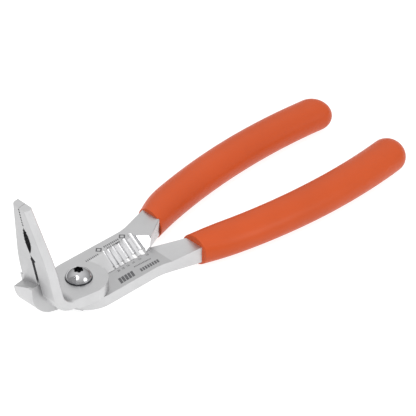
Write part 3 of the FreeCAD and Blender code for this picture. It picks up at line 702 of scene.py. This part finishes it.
class PLIERS_OT_marks(bpy.types.Operator):
    """Etch the wire gauge numbers and the plain marks on both halves"""
    bl_idname = "pliers.marks"
    bl_label = "Etched Marks"

    def execute(self, context):
        settings = context.scene.pliers_marks
        etched = etched_black(settings.colour)
        recess = LAP_Z - HALF_LAP_GAP
        top = PLATE_TOP_Z
        numbers = []
        place, radius = FIRST_HOLE_X, FIRST_HOLE_RADIUS
        for index in range(HOLE_COUNT):
            text = str(settings.largest_gauge - settings.gauge_step * index)
            numbers.append(number_mark(settings, text, (place + NUMBER_SHIFT_X, NUMBER_Y), recess))
            larger = radius * HOLE_GROWTH
            place += radius + larger + HOLE_WEB
            radius = larger
        join_marks(numbers, "gauge_numbers", etched, "lower")
        lower = [
            stroke_row(settings, mm(24.4, -5.1), mm(33.2, -5.6), 0.65 * MM, 13, 0.6, 0.3, recess),
            stroke_row(settings, mm(24.6, -8.5), mm(34.6, -8.7), 1.9 * MM, 8, 0.72, 0.25, recess),
            stroke_row(settings, mm(13.4, -8.1), mm(21.4, -8.0), 3.3 * MM, 5, 0.82, 0.35, recess),
        ]
        join_marks(lower, "lower_marks", etched, "lower")
        upper = [
            stroke_row(settings, mm(8.5, 5.9), mm(15.5, 6.1), 1.0 * MM, 8, 0.45, 0.2, top),
            diamond(settings, mm(17.6, 8.2), 1.7 * MM, top),
            stroke_row(settings, mm(20.0, 8.2), mm(28.2, 8.2), 0.9 * MM, 9, 0.6, 0.2, top),
            stroke_row(settings, mm(20.4, 6.7), mm(27.6, 6.7), 0.8 * MM, 8, 0.6, 0.2, top),
            diamond(settings, mm(30.4, 8.5), 1.8 * MM, top),
        ]
        join_marks(upper, "upper_marks", etched, "upper")
        return {"FINISHED"}


# ---------------------------------------------------------------- the stage

def area_light(name, place, target, size, power):
    bpy.ops.object.light_add(type="AREA", location=place)
    light = bpy.context.object
    light.name = name
    light.data.shape = "DISK"
    light.data.size = size
    light.data.energy = power
    light.rotation_euler = (Vector(target) - Vector(place)).to_track_quat("-Z", "Y").to_euler()
    return light


class PLIERS_OT_stage(bpy.types.Operator):
    """Lay the pale floor, set the soft lights and place the camera"""
    bl_idname = "pliers.stage"
    bl_label = "Stage"

    def execute(self, context):
        settings = context.scene.pliers_stage
        scene = context.scene
        deselect_all()
        bpy.ops.mesh.primitive_plane_add(size=12.0, location=(0, 0, 0))
        floor = bpy.context.object
        floor.name = "floor"
        bpy.ops.object.mode_set(mode="EDIT")
        bpy.ops.mesh.subdivide(number_cuts=3)
        bpy.ops.object.mode_set(mode="OBJECT")
        floor.data.materials.append(pale_floor(settings.floor_colour, settings.floor_glow))

        world = bpy.data.worlds.new("soft_sky")
        scene.world = world
        world.use_nodes = True
        tree = world.node_tree
        height = tree.nodes.new("ShaderNodeSeparateXYZ")
        tree.links.new(tree.nodes.new("ShaderNodeTexCoord").outputs["Generated"], height.inputs["Vector"])
        sky = ramp(tree, height.outputs["Z"], 0.1, 1.0, grey(settings.sky_low), grey(settings.sky_high))
        tree.links.new(sky, tree.nodes["Background"].inputs["Color"])

        middle = (CAD_BOX[0] + CAD_BOX[1]) / 2
        area_light("key_light", (-0.55, -0.2, 1.0), middle, 0.7, settings.key_power)
        area_light("fill_light", (0.35, -0.9, 0.5), middle, 0.6, settings.fill_power)

        target = Vector((settings.target_x, settings.target_y, PLATE_TOP_Z))
        turn, rise = settings.azimuth, settings.elevation
        back = Vector((math.sin(turn) * math.cos(rise), -math.cos(turn) * math.cos(rise), math.sin(rise)))
        bpy.ops.object.camera_add(location=target + back * settings.distance)
        camera = bpy.context.object
        camera.rotation_mode = "QUATERNION"
        camera.rotation_quaternion = (-back).to_track_quat("-Z", "Y")
        camera.data.sensor_width = 36.0
        camera.data.lens = settings.lens
        camera.data.clip_start = settings.distance * 0.01
        camera.data.clip_end = settings.distance * 100
        scene.camera = camera
        scene.view_settings.view_transform = "Standard"
        return {"FINISHED"}


# ---------------------------------------------------------------- panel and start

class PLIERS_PT_panel(bpy.types.Panel):
    """Settings and steps of the pliers"""
    bl_idname = "PLIERS_PT_panel"
    bl_label = "Pliers"
    bl_space_type = "VIEW_3D"
    bl_region_type = "UI"
    bl_category = "Pliers"

    def draw(self, context):
        layout = self.layout
        for group, steps in (("pliers_steel", ("pliers.halves", "pliers.pivot")),
                             ("pliers_grip", ("pliers.grips",)),
                             ("pliers_marks", ("pliers.marks",)),
                             ("pliers_stage", ("pliers.stage",))):
            box = layout.box()
            settings = getattr(context.scene, group)
            for name in settings.__annotations__:
                box.prop(settings, name)
            for step in steps:
                box.operator(step)


SETTINGS = {"pliers_steel": SteelSettings, "pliers_grip": GripSettings,
            "pliers_marks": MarkSettings, "pliers_stage": StageSettings}
CLASSES = (*SETTINGS.values(), PLIERS_OT_halves, PLIERS_OT_grips, PLIERS_OT_pivot,
           PLIERS_OT_marks, PLIERS_OT_stage, PLIERS_PT_panel)


def register():
    for cls in CLASSES:
        bpy.utils.register_class(cls)
    for name, group in SETTINGS.items():
        setattr(bpy.types.Scene, name, PointerProperty(type=group))


def unregister():
    for name in SETTINGS:
        delattr(bpy.types.Scene, name)
    for cls in reversed(CLASSES):
        bpy.utils.unregister_class(cls)


def main():
    register()
    bpy.ops.pliers.stage()
    bpy.ops.pliers.halves()
    bpy.ops.pliers.grips()
    bpy.ops.pliers.pivot()
    bpy.ops.pliers.marks()
    deselect_all()


if __name__ == "__main__":
    main()
